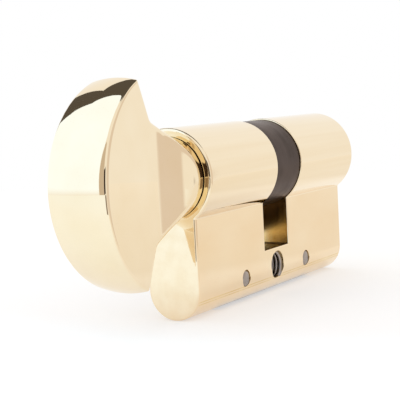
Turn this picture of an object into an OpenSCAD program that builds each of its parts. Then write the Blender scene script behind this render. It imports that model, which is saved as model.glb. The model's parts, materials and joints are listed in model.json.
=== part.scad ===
// Euro profile lock cylinder, key one side and thumb turn the other.
// The plug axis is X, with the thumb turn at -X and the key side at +X.
// The origin is on the plug axis, at the middle of the cam. Z points up.

/* [Body] */
// Cam centre to the end face on the thumb turn side
turn_side = 30; // [30:5:50]
// Cam centre to the end face on the key side
key_side = 30; // [30:5:50]
// Diameter of the round barrel
barrel_d = 17; // [16.8:0.1:17.4]
// Height from the top of the barrel to the bottom of the web
body_h = 33; // [32.6:0.1:34]
// Thickness of the web below the barrel
web_w = 10; // [9.8:0.1:10.6]
// Radius of the rounded foot of the web
foot_r = 5.1; // [5.1:0.1:5.6]
// Size of the broken edge round both end faces
edge_break = 0.5; // [0.2:0.1:0.6]
// Width of the slot that the cam turns in
slot_w = 10; // [9.6:0.1:11]
// Height of the bridge that is left under the slot
bridge_h = 8.7; // [8.4:0.1:9.2]

/* [Fixing hole] */
// Core diameter of the M5 thread for the fixing screw
fixing_core_d = 4.2; // [4:0.1:4.6]
// Bottom of the web to the centre of the fixing hole
fixing_h = 5.4; // [5:0.1:5.6]

/* [Reinforcing bar] */
// Length of the steel bar in the foot of the web
bar_len = 38; // [38:0.2:39]
// Thickness of the bar
bar_w = 5; // [4.4:0.2:6]
// Body metal left between the slot floor and the bar
bar_skin = 0.6; // [0.4:0.1:0.9]
// Gap between the bar and its pocket, all round
bar_clear = 0.03; // [0.01:0.01:0.06]
// Diameter of the two cross pins that hold the bar
bar_pin_d = 3; // [2.4:0.1:3.4]
// Distance between the centres of the two cross pins
bar_pin_spacing = 25.4; // [22:0.2:28]
// Cross pins below the centre of the fixing hole
bar_pin_drop = 0.65; // [0:0.05:1]
// Gap between each cross pin and its hole
bar_pin_clear = 0.01; // [0.01:0.01:0.03]

/* [Thumb turn] */
// Diameter of the knob at its sharp rim
knob_d = 34.4; // [30:0.2:38]
// End face to the front of the dome
knob_reach = 26.9; // [25:0.1:32]
// End face to the rim
rim_offset = 14.2; // [13:0.1:16]
// Diameter where the back of the head meets the neck cone
neck_top_d = 21.6; // [18:0.2:25]
// End face to that meeting
neck_top_offset = 10.7; // [10.2:0.1:11.6]
// Diameter of the round collar against the body
collar_d = 14.2; // [14:0.1:15]
// End face to where the neck cone meets the collar
collar_end = 2; // [1.8:0.1:3]
// Distance across the two parallel side flats
flat_w = 8; // [7.6:0.1:9]
// Radius of the hollow in which each flat runs out onto the collar
runout_r = 6; // [4:0.5:8]
// End face to where that hollow reaches the outside of the collar
runout_end = 1.7; // [1:0.1:1.7]
// End face to the crease where the sides begin to flare
crease_offset = 10; // [8:0.1:12]
// Angle of each flared side to the axis, in degrees
flare_deg = 5.4; // [3:0.1:8]
// Gap between the collar and the end face of the body
turn_gap = 0.15; // [0.1:0.05:0.3]

/* [Turn spindle] */
// Diameter of the nose that is pressed into the knob
nose_d = 6; // [5:0.1:6.4]
// Length of that nose
nose_len = 7.6; // [5:0.1:8.4]
// Gap between the nose and the bore of the knob
nose_clear = 0.01; // [0.01:0.01:0.03]

/* [Key plug] */
// Diameter of the key plug and of the turn spindle
plug_d = 13; // [12.6:0.1:13.2]
// Running gap round the plug and the spindle
plug_clear = 0.05; // [0.02:0.01:0.09]
// Diameter of the front flange of the plug
head_d = 14; // [13.8:0.1:14.6]
// Thickness of that flange
head_t = 1.2; // [0.8:0.1:1.6]
// Size of the broken edges of that flange
head_edge = 0.3; // [0.1:0.1:0.4]
// Width of the keyway
keyway_w = 2.2; // [1.8:0.1:2.6]
// Height of the keyway
keyway_h = 8.6; // [7.6:0.1:9]
// Depth of each ward groove in the side of the keyway
ward_depth = 0.6; // [0.3:0.1:0.9]

/* [Journals and clips] */
// Diameter of the inner journals that carry the cam
journal_d = 11; // [10.6:0.1:11.2]
// Cam centre to the inner end of each journal
journal_end = 2.6; // [2.6:0.1:3]
// Running gap between the journals and the cam
journal_clear = 0.05; // [0.02:0.01:0.09]
// Thickness of the retaining clips
clip_t = 0.8; // [0.6:0.1:1]
// Outer diameter of the retaining clips
clip_d = 13.8; // [13.6:0.1:14]
// Depth of the clip groove in the journal
groove_depth = 0.6; // [0.4:0.1:0.8]
// Gap beside and under each clip
clip_clear = 0.05; // [0.02:0.01:0.08]
// Width of the opening in each clip
clip_opening = 3; // [2:0.5:5]

/* [Cam] */
// Outer diameter of the cam ring
cam_d = 16.5; // [16:0.1:16.8]
// Gap between each side of the cam and the slot
cam_gap = 0.1; // [0.1:0.05:0.3]
// Width of the lug
lug_w = 7.9; // [7:0.1:8.4]
// Angle of the lug from straight down, in degrees
lug_deg = 30; // [0:5:60]
// Gap between the tip of the lug and the slot floor
lug_room = 0.8; // [0.6:0.1:1.2]
// Width of the two drive slots in the bore of the cam
drive_slot_w = 2; // [1.6:0.1:2.4]
// Depth of the two drive slots
drive_slot_depth = 0.9; // [0.6:0.1:1]
// Gap between each drive dog and its slot
dog_clear = 0.05; // [0.03:0.01:0.1]

/* [Clutch] */
// Thickness of the clutch disc
clutch_t = 3; // [2.6:0.1:3.2]
// Gap between the clutch and the end of the key plug
clutch_gap = 0.2; // [0.1:0.05:0.3]
// Depth of the slot that takes the tip of the key
tip_slot_depth = 1.5; // [1:0.1:1.8]
// Diameter of the spigot that centres the clutch spring
spigot_d = 3.8; // [3:0.1:4.2]
// Length of that spigot
spigot_len = 1; // [0.6:0.1:1.2]
// Mean diameter of the clutch spring
clutch_spring_d = 5.2; // [5:0.1:5.4]
// Wire diameter of the clutch spring
clutch_wire_d = 0.4; // [0.3:0.05:0.5]
// Depth of the spring pocket in the spindle
spring_pocket = 3.8; // [3:0.1:5]

/* [Pins] */
// Diameter of the key pins and driver pins
pin_d = 2.9; // [2.6:0.1:3]
// Gap round each pin
pin_clear = 0.05; // [0.03:0.01:0.09]
// Distance between the pins
pin_pitch = 4; // [3.9:0.02:4.02]
// Slot wall to the first pin
first_pin = 4; // [3.8:0.1:4]
// Length of each key pin, from the cam outwards
key_pin_len = [5, 6, 5.5, 6.5, 5.2]; // [4.6:0.1:6.6]
// Length of each driver pin
driver_len = 4.6; // [4.2:0.1:5]
// Plug axis to the closed top of the pin holes
pin_hole_top = 1; // [0.6:0.1:1.2]
// Gap above each key pin at rest
pin_top_gap = 0.1; // [0.05:0.05:0.2]
// Mean diameter of the pin springs
pin_spring_d = 2.2; // [2:0.1:2.3]
// Wire diameter of the pin springs
pin_wire_d = 0.3; // [0.2:0.05:0.4]
// Distance between the turns of the pin springs
pin_spring_pitch = 1.15; // [0.9:0.05:1.5]
// Distance between the turns of the clutch spring
clutch_spring_pitch = 1.4; // [1:0.1:1.8]

/* [Hidden] */
$fn = 96;

barrel_r = barrel_d / 2;
web_bottom = barrel_r - body_h;
foot_z = web_bottom + foot_r;
slot_floor = web_bottom + bridge_h;
slot_end = slot_w / 2;
lug_reach = -slot_floor - lug_room;
fixing_z = web_bottom + fixing_h;
bar_top = slot_floor - bar_skin;
bar_pin_z = fixing_z - bar_pin_drop;
plug_r = plug_d / 2;
plug_bore_r = plug_r + plug_clear;
head_bore_r = head_d / 2 + plug_clear;
journal_r = journal_d / 2;
cam_bore_r = journal_r + journal_clear;
cam_end = slot_end - cam_gap;
clip_out = slot_end - cam_gap;
clip_in = clip_out - clip_t;
clip_bore_r = journal_r - groove_depth + clip_clear;
recess_end = clip_in - 2 * cam_gap;
recess_r = clip_d / 2 + journal_clear * 4;
dog_r = cam_bore_r + drive_slot_depth - dog_clear;
dog_w = drive_slot_w - 2 * dog_clear;
clutch_front = journal_end - clutch_gap;
clutch_back = clutch_front - clutch_t;
spindle_end = -(turn_side + turn_gap);
pin_bore_d = pin_d + 2 * pin_clear;
pin_top = pin_hole_top - pin_top_gap;
pin_x = [for (i = [0 : 4]) slot_end + first_pin + i * pin_pitch];
pin_tip = 0.7;
pin_edge = 0.25;
// A little past a face, so that a cut leaves no skin.
over = 1;
dome_bands = 20;
runout_steps = 8;
coil_sides = 6;
coil_steps = 12;

brass = [0.91, 0.79, 0.55];
steel = [0.66, 0.63, 0.60];
dark_steel = [0.36, 0.32, 0.31];

// Stands a shape made along Z on the X axis, its Z becoming X.
module along_x() {
    rotate([0, 90, 0]) children();
}

// A round bar on the X axis, from x0 to x1.
module bar_x(r, x0, x1) {
    translate([x0, 0, 0]) along_x() cylinder(r = r, h = x1 - x0);
}

// A round bar across the body, along Y, centred at x and z.
module bar_y(r, x, z, len) {
    translate([x, len / 2, z]) rotate([90, 0, 0]) cylinder(r = r, h = len);
}

// A round bar along X with both its end edges broken.
module broken_bar_x(r, x0, x1, edge) {
    along_x() rotate_extrude() polygon([
        [0, x0], [r - edge, x0], [r, x0 + edge], [r, x1 - edge], [r - edge, x1], [0, x1]
    ]);
}

// The web seen from above, with its end corners broken.
module web_plan() {
    e = edge_break;
    x0 = -turn_side;
    x1 = key_side;
    y = web_w / 2;
    polygon([
        [x0 + e, -y], [x1 - e, -y], [x1, -y + e], [x1, y - e],
        [x1 - e, y], [x0 + e, y], [x0, y - e], [x0, -y + e]
    ]);
}

// Everything inside the rounded foot of the web, within the web's thickness.
module foot() {
    intersection() {
        translate([0, 0, foot_z]) broken_bar_x(foot_r, -turn_side, key_side, edge_break);
        translate([0, 0, web_bottom - over]) linear_extrude(foot_r + over) web_plan();
    }
}

module foot_and_web() {
    union() {
        foot();
        translate([0, 0, foot_z]) linear_extrude(-foot_z) web_plan();
    }
}

module body_outside() {
    union() {
        broken_bar_x(barrel_r, -turn_side, key_side, edge_break);
        foot_and_web();
    }
}

module bar_space(clear) {
    len = bar_len + 2 * clear;
    width = bar_w + 2 * clear;
    top = bar_top + clear;
    translate([-len / 2, -width / 2, web_bottom - over]) cube([len, width, top - web_bottom + over]);
}

// The threaded hole for the fixing screw, through the web and the bar.
module fixing_hole() {
    bar_y(fixing_core_d / 2, 0, fixing_z, web_w + 2 * over);
}

module bar_pin_holes() {
    for (side = [-1, 1])
        bar_y(bar_pin_d / 2 + bar_pin_clear, side * bar_pin_spacing / 2, bar_pin_z, web_w + 2 * over);
}

// The pin chambers, drilled up through the foot into the plug bore.
module chambers() {
    for (x = pin_x)
        translate([x, 0, web_bottom - over]) cylinder(d = pin_bore_d, h = -web_bottom + over);
}

module lock_body() {
    color(brass)
    difference() {
        body_outside();
        bar_x(plug_bore_r, -turn_side - over, key_side + over);
        bar_x(head_bore_r, key_side - head_t, key_side + over);
        translate([-slot_end, -barrel_r - over, slot_floor])
            cube([slot_w, barrel_d + 2 * over, barrel_r + over - slot_floor]);
        bar_space(bar_clear);
        chambers();
        fixing_hole();
        bar_pin_holes();
    }
}

module reinforcing_bar() {
    color(steel)
    difference() {
        intersection() {
            bar_space(0);
            foot_and_web();
        }
        fixing_hole();
        bar_pin_holes();
    }
}

module bar_pin(side) {
    color(steel) bar_y(bar_pin_d / 2, side * bar_pin_spacing / 2, bar_pin_z, web_w);
}

// Two pins pressed into the open ends of the outer chambers, flush with the foot.
module chamber_plugs() {
    color(brass)
    intersection() {
        foot_and_web();
        for (x = [for (p = pin_x) if (p > bar_len / 2) p])
            translate([x, 0, web_bottom - over])
                cylinder(d = pin_bore_d - 2 * bar_pin_clear, h = bar_top - web_bottom + over);
    }
}

// Half outline of the turned knob: dome as part of a ball, sharp rim, back, neck cone and collar.
function knob_outline() = let (
    front = -(turn_side + knob_reach),
    rim = -(turn_side + rim_offset),
    r = knob_d / 2,
    sweep = 2 * atan((rim - front) / r),
    dome_r = r / sin(sweep)
) concat(
    [
        for (i = [0 : dome_bands]) let (a = sweep * i / dome_bands)
            [dome_r * sin(a), front + dome_r * (1 - cos(a))]
    ],
    [
        [neck_top_d / 2, -(turn_side + neck_top_offset)],
        [collar_d / 2, -(turn_side + collar_end)],
        [collar_d / 2, spindle_end],
        [0, spindle_end]
    ]
);

// Plan of one side: out along the flare, round the hollow and off past the collar.
function side_plan() = let (
    crease = -(turn_side + crease_offset),
    front = -(turn_side + knob_reach + over),
    y0 = flat_w / 2,
    y1 = y0 + (crease - front) * tan(flare_deg),
    turn = acos(1 - (collar_d / 2 - y0) / runout_r),
    start = -(turn_side + runout_end) - runout_r * sin(turn),
    hollow = [
        for (i = [0 : runout_steps + 1]) let (a = turn * i / runout_steps)
            [start + runout_r * sin(a), y0 + runout_r * (1 - cos(a))]
    ]
) concat([[front, y1], [crease, y0]], hollow, [[spindle_end + over, hollow[runout_steps + 1][1]]]);

// Plan of the blade, the same on both sides.
module blade_plan() {
    side = side_plan();
    last = len(side) - 1;
    polygon(concat(side, [for (i = [last : -1 : 0]) [side[i][0], -side[i][1]]]));
}

module thumb_turn() {
    color(brass)
    difference() {
        intersection() {
            along_x() rotate_extrude() polygon(knob_outline());
            translate([0, 0, -knob_d]) linear_extrude(2 * knob_d) blade_plan();
        }
        bar_x(nose_d / 2 + nose_clear, spindle_end - nose_len - turn_gap, spindle_end + over);
    }
}

// The journal at the cam end of the spindle and of the plug, with its clip groove.
module journal() {
    bar_x(journal_r, journal_end, clip_in - clip_clear);
    bar_x(journal_r - groove_depth, clip_in - clip_clear, slot_end);
}

// Two dogs that fit the drive slots of the cam.
module dogs(x0, x1) {
    intersection() {
        bar_x(dog_r, x0, x1);
        translate([x0, -dog_w / 2, -dog_r]) cube([x1 - x0, dog_w, 2 * dog_r]);
    }
}

module turn_spindle() {
    color(brass)
    difference() {
        union() {
            bar_x(nose_d / 2, spindle_end - nose_len, spindle_end + over);
            bar_x(plug_r, spindle_end, -slot_end);
            mirror([1, 0, 0]) journal();
            dogs(-recess_end, -journal_end);
        }
        bar_x(clutch_spring_d / 2 + clutch_wire_d, -journal_end - spring_pocket, 0);
    }
}

module clip() {
    color(steel)
    difference() {
        bar_x(clip_d / 2, clip_in, clip_out);
        bar_x(clip_bore_r, clip_in - over, clip_out + over);
        translate([clip_in - over, -clip_opening / 2, 0]) cube([clip_t + 2 * over, clip_opening, clip_d]);
    }
}

module turn_clip() {
    mirror([1, 0, 0]) clip();
}

module plug_clip() {
    clip();
}

module cam() {
    color(dark_steel)
    difference() {
        union() {
            bar_x(cam_d / 2, -cam_end, cam_end);
            intersection() {
                bar_x(lug_reach, -cam_end, cam_end);
                rotate([lug_deg, 0, 0])
                    translate([-cam_end, -lug_w / 2, -lug_reach - over])
                        cube([2 * cam_end, lug_w, lug_reach + over]);
            }
        }
        bar_x(cam_bore_r, -slot_end, slot_end);
        for (side = [0, 1])
            mirror([side, 0, 0]) bar_x(recess_r, recess_end, slot_end);
        intersection() {
            bar_x(cam_bore_r + drive_slot_depth, -slot_end, slot_end);
            translate([-slot_end, -drive_slot_w / 2, -cam_d]) cube([slot_w, drive_slot_w, 2 * cam_d]);
        }
    }
}

module clutch() {
    color(steel)
    difference() {
        union() {
            bar_x(journal_r, clutch_back, clutch_front);
            dogs(clutch_back, clutch_front);
            bar_x(spigot_d / 2, clutch_back - spigot_len, clutch_back);
        }
        translate([clutch_front - tip_slot_depth, -keyway_w / 2, -keyway_h / 2])
            cube([tip_slot_depth + over, keyway_w, keyway_h]);
    }
}

// Outline of the keyway seen from the front, with one ward groove on each side.
module keyway_section() {
    w = keyway_w / 2;
    h = keyway_h / 2;
    polygon([
        [-w, -h], [w, -h], [w, -h * 0.3], [w - ward_depth, -h * 0.15], [w - ward_depth, h * 0.15],
        [w, h * 0.3], [w, h], [-w, h], [-w, h * 0.75], [ward_depth - w, h * 0.6],
        [ward_depth - w, h * 0.35], [-w, h * 0.2]
    ]);
}

module key_plug() {
    color(brass)
    difference() {
        union() {
            bar_x(plug_r, slot_end, key_side);
            broken_bar_x(head_d / 2, key_side - head_t, key_side, head_edge);
            journal();
        }
        translate([journal_end - over, 0, 0])
            rotate([90, 0, 90]) linear_extrude(key_side - journal_end + 2 * over) keyway_section();
        for (x = pin_x)
            translate([x, 0, -plug_d]) cylinder(d = pin_bore_d, h = plug_d + pin_hole_top);
    }
}

// A key pin, pointed at the top where the key lifts it.
module key_pin(i) {
    len = key_pin_len[i];
    r = pin_d / 2;
    color(brass)
    translate([pin_x[i], 0, pin_top - len])
        rotate_extrude() polygon([
            [0, 0], [r - pin_edge, 0], [r, pin_edge], [r, len - pin_tip],
            [r - pin_tip, len], [0, len]
        ]);
}

module driver_pin(i) {
    r = pin_d / 2;
    color(steel)
    translate([pin_x[i], 0, pin_top - key_pin_len[i] - driver_len])
        rotate_extrude() polygon([
            [0, 0], [r - pin_edge, 0], [r, pin_edge], [r, driver_len - pin_edge],
            [r - pin_edge, driver_len], [0, driver_len]
        ]);
}

// A coil spring along Z, from 0 to its height, in whole turns of about the given pitch.
module coil(mean_d, wire_d, height, pitch) {
    n = ceil(height / pitch - 0.5) * coil_steps;
    r = mean_d / 2;
    w = wire_d / 2;
    points = [
        for (i = [0 : n], j = [0 : coil_sides - 1])
            let (a = 360 * i / coil_steps, b = 360 * j / coil_sides)
            [(r + w * cos(b)) * cos(a), (r + w * cos(b)) * sin(a), w + (height - wire_d) * i / n + w * sin(b)]
    ];
    sides = [
        for (i = [0 : n - 1], j = [0 : coil_sides - 1])
            let (k = (j + 1) % coil_sides, p = i * coil_sides, q = p + coil_sides)
            [p + j, p + k, q + k, q + j]
    ];
    start = [[for (j = [coil_sides - 1 : -1 : 0]) j]];
    finish = [[for (j = [0 : coil_sides - 1]) n * coil_sides + j]];
    polyhedron(points, concat(sides, start, finish));
}

module pin_spring(i) {
    driver_bottom = pin_top - key_pin_len[i] - driver_len;
    color(steel)
    translate([pin_x[i], 0, bar_top])
        coil(pin_spring_d, pin_wire_d, driver_bottom - bar_top, pin_spring_pitch);
}

module clutch_spring() {
    pocket_floor = -journal_end - spring_pocket;
    color(steel)
    translate([pocket_floor, 0, 0])
        along_x() coil(clutch_spring_d, clutch_wire_d, clutch_back - pocket_floor, clutch_spring_pitch);
}

lock_body();
reinforcing_bar();
bar_pin(-1);  // bar_pin_left
bar_pin(1);  // bar_pin_right
chamber_plugs();
thumb_turn();
turn_spindle();
turn_clip();
cam();
clutch();
clutch_spring();
key_plug();
plug_clip();
key_pin(0);  // key_pin_1
key_pin(1);  // key_pin_2
key_pin(2);  // key_pin_3
key_pin(3);  // key_pin_4
key_pin(4);  // key_pin_5
driver_pin(0);  // driver_pin_1
driver_pin(1);  // driver_pin_2
driver_pin(2);  // driver_pin_3
driver_pin(3);  // driver_pin_4
driver_pin(4);  // driver_pin_5
pin_spring(0);  // pin_spring_1
pin_spring(1);  // pin_spring_2
pin_spring(2);  // pin_spring_3
pin_spring(3);  // pin_spring_4
pin_spring(4);  // pin_spring_5
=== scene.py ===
import json
import math

import bmesh
import bpy
import numpy as np
from mathutils import Matrix, Vector


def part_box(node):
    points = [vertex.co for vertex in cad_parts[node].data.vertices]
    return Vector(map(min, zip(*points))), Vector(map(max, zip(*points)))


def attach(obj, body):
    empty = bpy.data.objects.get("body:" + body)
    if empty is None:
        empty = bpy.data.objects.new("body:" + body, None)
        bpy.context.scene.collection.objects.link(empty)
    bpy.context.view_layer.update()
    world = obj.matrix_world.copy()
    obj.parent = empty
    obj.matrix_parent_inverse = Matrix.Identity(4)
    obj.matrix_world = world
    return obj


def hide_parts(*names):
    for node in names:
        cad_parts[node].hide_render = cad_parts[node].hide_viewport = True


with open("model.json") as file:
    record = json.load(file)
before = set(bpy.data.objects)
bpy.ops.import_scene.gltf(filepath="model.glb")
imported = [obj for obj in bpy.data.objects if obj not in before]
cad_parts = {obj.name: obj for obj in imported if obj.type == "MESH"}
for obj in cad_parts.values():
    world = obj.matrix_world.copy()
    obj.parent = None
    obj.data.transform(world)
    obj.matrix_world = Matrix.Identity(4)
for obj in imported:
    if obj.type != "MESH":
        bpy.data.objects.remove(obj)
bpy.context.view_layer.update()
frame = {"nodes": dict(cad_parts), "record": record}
nodes = frame["nodes"]
mounts = {mount["name"]: mount for mount in frame["record"]["mounts"]}
mm = 0.001

# The studio: a small white table in a white surround. Cards that only the metal sees
# stand round it: a cool diffuser, a dark gap and a dark ceiling beside it, a dim corner
# on the right, and the darker side of the camera, which looks from the knob's end.
scene = bpy.context.scene
scene.view_settings.view_transform = "Standard"

camera_azimuth = math.radians(-59.69)
camera_elevation = math.radians(5.263)
camera_roll = math.radians(-2.99)
camera_place = Vector((-198.035, -104.359, 14.270)) * mm
camera_lens = 105.65

back = Vector((
    math.sin(camera_azimuth) * math.cos(camera_elevation),
    -math.cos(camera_azimuth) * math.cos(camera_elevation),
    math.sin(camera_elevation),
))
level_right = Vector((math.cos(camera_azimuth), math.sin(camera_azimuth), 0))
level_up = back.cross(level_right)
right = level_right * math.cos(camera_roll) + level_up * math.sin(camera_roll)
up = level_up * math.cos(camera_roll) - level_right * math.sin(camera_roll)
camera_data = bpy.data.cameras.new("camera")
camera_data.lens = camera_lens
camera_data.sensor_width = 36
camera_data.clip_start = 0.01
camera = bpy.data.objects.new("camera", camera_data)
camera.matrix_world = Matrix.Translation(camera_place) @ Matrix((right, up, back)).transposed().to_4x4()
scene.collection.objects.link(camera)
scene.camera = camera

world = bpy.data.worlds.new("studio")
world.use_nodes = True
scene.world = world
surround = world.node_tree.nodes["Background"]
surround.inputs["Color"].default_value = (1, 1, 1, 1)
surround.inputs["Strength"].default_value = 1


def mesh_piece(name, points, faces):
    """A new object with a mesh of these points and faces."""
    mesh =bpy.data.meshes.new(name)
    mesh.from_pydata(points, [], faces)
    mesh.update()
    piece = bpy.data.objects.new(name, mesh)
    scene.collection.objects.link(piece)
    return piece


def eased(tree, value, start, end):
    """A ramp from 0 at start to 1 at end over a node's value, eased at both ends."""
    ramp = tree.nodes.new("ShaderNodeMapRange")
    ramp.interpolation_type = "SMOOTHSTEP"
    ramp.inputs["From Min"].default_value = start
    ramp.inputs["From Max"].default_value = end
    tree.links.new(value, ramp.inputs["Value"])
    return ramp.outputs["Result"]


def product(tree, a, b):
    """Two node values multiplied. The second may be a plain number."""
    times = tree.nodes.new("ShaderNodeMath")
    times.operation = "MULTIPLY"
    tree.links.new(a, times.inputs[0])
    if isinstance(b, bpy.types.NodeSocket):
        tree.links.new(b, times.inputs[1])
    else:
        times.inputs[1].default_value = b
    return times.outputs["Value"]


def colour_mix(tree, factor, a, b):
    """A node that goes from colour a to colour b, each a node's output or plain red, green and blue."""
    mix = tree.nodes.new("ShaderNodeMix")
    mix.data_type = "RGBA"
    tree.links.new(factor, mix.inputs["Factor"])
    for socket, colour in (("A", a), ("B", b)):
        if isinstance(colour, bpy.types.NodeSocket):
            tree.links.new(colour, mix.inputs[socket])
        else:
            mix.inputs[socket].default_value = (*colour, 1)
    return mix.outputs["Result"]


paper_tones = (0.60, 0.60, 0.60), (0.62, 0.62, 0.62)
paper_grain = 900
glow_start_x = -0.15
glow_end_x = 0.05
glow_stops = (
    (0, (0.47, 0.57, 0.67, 1)),
    (0.40, (0.48, 0.56, 0.63, 1)),
    (0.62, (0.43, 0.42, 0.42, 1)),
    (0.75, (0.43, 0.42, 0.42, 1)),
    (1, (0.43, 0.418, 0.408, 1)),
)
warm_glow = (0.365, 0.335, 0.290)
warm_direction = (0.350, -0.954, 0)
warm_starts, warm_full = 0.030, 0.042
warm_fades, warm_ends = 0.08, 0.30


def table_material():
    """White paper that glows a little and still takes a shadow.

    The glow is cool on the diffuser's side, and warm in a strip on the right, which lies
    outside the picture and shows only in the brass.
    """
    material = bpy.data.materials.new("white_table")
    material.use_nodes = True
    tree = material.node_tree
    new, link = tree.nodes.new, tree.links.new
    shader = tree.nodes["Principled BSDF"]
    shader.inputs["Roughness"].default_value = 0.9
    shader.inputs["Specular IOR Level"].default_value = 0
    shader.inputs["Emission Strength"].default_value = 1
    place = new("ShaderNodeTexCoord").outputs["Object"]

    paper = new("ShaderNodeTexNoise")
    paper.inputs["Scale"].default_value = paper_grain
    link(place, paper.inputs["Vector"])
    link(colour_mix(tree, paper.outputs["Fac"], *paper_tones), shader.inputs["Base Color"])

    split = new("ShaderNodeSeparateXYZ")
    link(place, split.inputs["Vector"])
    along = new("ShaderNodeMapRange")
    along.inputs["From Min"].default_value = glow_start_x
    along.inputs["From Max"].default_value = glow_end_x
    link(split.outputs["X"], along.inputs["Value"])
    glow = new("ShaderNodeValToRGB")
    glow.color_ramp.interpolation = "EASE"
    stops = glow.color_ramp.elements
    for position, colour in glow_stops[1:-1]:
        stops.new(position).color = colour
    stops[0].color = glow_stops[0][1]
    stops[len(stops) - 1].color = glow_stops[-1][1]
    link(along.outputs["Result"], glow.inputs["Fac"])

    to_right = new("ShaderNodeVectorMath")
    to_right.operation = "DOT_PRODUCT"
    to_right.inputs[1].default_value = warm_direction
    link(place, to_right.inputs[0])
    beyond = eased(tree, to_right.outputs["Value"], warm_starts, warm_full)
    within = eased(tree, to_right.outputs["Value"], warm_ends, warm_fades)
    strip = product(tree, beyond, within)
    link(colour_mix(tree, strip, glow.outputs["Color"], warm_glow), shader.inputs["Emission Color"])
    return material


table_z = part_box("lock_body")[0].z
table_reach = 0.30
table_sides = 96
table_turns = [math.tau * i / table_sides for i in range(table_sides)]
table = mesh_piece(
    "table",
    [(table_reach * math.cos(turn), table_reach * math.sin(turn), table_z) for turn in table_turns],
    [tuple(range(table_sides))],
)
table.data.materials.append(table_material())


def card(name, centre, azimuths, elevations, distance, colour, soft=(0, 0, 0, 0)):
    """A card bent round a point of the lock, in millimetres, which only the metal sees.

    Its azimuths are in degrees and its distance in metres. The lower and upper elevation are
    given at both ends of the card. Each soft share of the card, at its two ends, its foot and
    its top, fades into the white surround.
    """
    (foot_start, foot_end), (top_start, top_end) = elevations
    across, rise = 40, 28
    points = []
    for j in range(rise + 1):
        for i in range(across + 1):
            u, v = i / across, j / rise
            foot = foot_start + (foot_end - foot_start) * u
            top = top_start + (top_end - top_start) * u
            a = math.radians(azimuths[0] + (azimuths[1] - azimuths[0]) * u)
            e = math.radians(foot + (top - foot) * v)
            points.append(Vector(centre) * mm + distance * Vector(
                (math.cos(e) * math.cos(a), math.cos(e) * math.sin(a), math.sin(e))
            ))
    row = across + 1
    faces = [
        (j * row + i, j * row + i + 1, (j + 1) * row + i + 1, (j + 1) * row + i)
        for j in range(rise) for i in range(across)
    ]
    piece = mesh_piece(name, points, faces)
    lay = piece.data.uv_layers.new(name="lay")
    for loop in piece.data.loops:
        j, i = divmod(loop.vertex_index, row)
        lay.data[loop.index].uv = (i / across, j / rise)
    material = bpy.data.materials.new(name)
    material.use_nodes = True
    tree = material.node_tree
    new, link = tree.nodes.new, tree.links.new
    tree.nodes.remove(tree.nodes["Principled BSDF"])
    light = new("ShaderNodeEmission")
    light.inputs["Color"].default_value = (*colour, 1)
    place = new("ShaderNodeUVMap")
    place.uv_map = "lay"
    split = new("ShaderNodeSeparateXYZ")
    link(place.outputs["UV"], split.inputs["Vector"])
    shade = None
    for axis, edge, width in zip("XXYY", (0, 1, 0, 1), soft):
        if width > 0:
            fade = eased(tree, split.outputs[axis], edge, width if edge == 0 else 1 - width)
            shade = product(tree, shade, fade) if shade else fade
    if shade:
        link(colour_mix(tree, shade, white, colour), light.inputs["Color"])
    link(light.outputs["Emission"], tree.nodes["Material Output"].inputs["Surface"])
    piece.data.materials.append(material)
    piece.visible_camera = False
    piece.visible_diffuse = False
    piece.visible_transmission = False
    piece.visible_shadow = False


white = (1, 1, 1)
daylight = (1.13, 1.33, 1.62)
unlit = (0.10, 0.088, 0.075)
warm_grey = (0.82, 0.745, 0.70)
tan_grey = (0.66, 0.58, 0.50)
brown_grey = (0.32, 0.27, 0.24)
brown_black = (0.05, 0.035, 0.03)
dome_eye = (-54, 0, 0)
flat_eye = (-45, -5, 0)
neck_eye = (-36, -4, 0)
collar_eye = (-31, -7, 0)
end_face_eye = (-33, -6, -10)
card("diffuser", dome_eye, (57.5, 173), ((-9, -9), (88, 88)), 0.63, daylight, (0, 0, 0.1, 0))
card("dark_gap", dome_eye, (57.5, 83), ((22, 22), (71, 56)), 0.61, unlit, (0, 0, 0.2, 0))
card("dark_ceiling", dome_eye, (-75, 33), ((43.5, 43), (88, 88)), 0.61, unlit, (0.25, 0, 0, 0))
card("dark_ceiling_end", dome_eye, (33, 57.5), ((43, 52.5), (88, 88)), 0.61, unlit)
card("dim_corner", neck_eye, (-106, -29.2), ((-14, -14), (40, 40)), 0.10, warm_grey, (0.14, 0.034, 0, 0.2))
card("camera_side", flat_eye, (173, 189), ((-9, -9), (46, 46)), 0.42, tan_grey, (0, 0.2, 0, 0.06))
card("camera_dark", collar_eye, (182, 224), ((-14, -14), (20, 20)), 0.38, brown_black, (0.06, 0.1, 0.2, 0.1))
card("camera_foot", end_face_eye, (190, 226), ((-13, -13), (5, 5)), 0.07, brown_grey, (0.1, 0.1, 0.1, 0.12))

# The lock body is one length of drawn brass: a round barrel over a flat web with a
# rounded foot. The cam slot, the plug bores, the pin chambers, the pocket for the
# bar and the cross holes are cut in it, then it is polished and its edges broken.
body_low, body_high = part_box("lock_body")
bar_low, bar_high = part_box("reinforcing_bar")
cam_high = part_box("cam")[1]
plug_low, plug_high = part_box("key_plug")
bar_pin_boxes = [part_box("bar_pin_left"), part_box("bar_pin_right")]
chamber_boxes = [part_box(f"key_pin_{i}") for i in (1, 2, 3, 4, 5)]
barrel_r = body_high.z
web_half = 5 * mm
inner_corner_r = 0.4 * mm
foot_r = 5.1 * mm
foot_z = body_low.z + foot_r
slot_half = cam_high.x + 0.1 * mm
slot_floor = bar_high.z + 0.6 * mm
plug_bore_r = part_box("turn_spindle")[1].y + 0.05 * mm
head_bore_r = plug_high.y + 0.05 * mm
head_depth = 1.2 * mm
fixing_z = mounts["fixing_thread"]["pos_m"][2]
thread_bore_r = 2.6 * mm
chamber_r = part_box("chamber_plugs")[1].y + 0.01 * mm
cross_hole_r = (bar_pin_boxes[0][1].x - bar_pin_boxes[0][0].x) / 2 + 0.01 * mm
end_edge = 0.52 * mm
slot_rim_edge = 0.20 * mm
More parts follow.
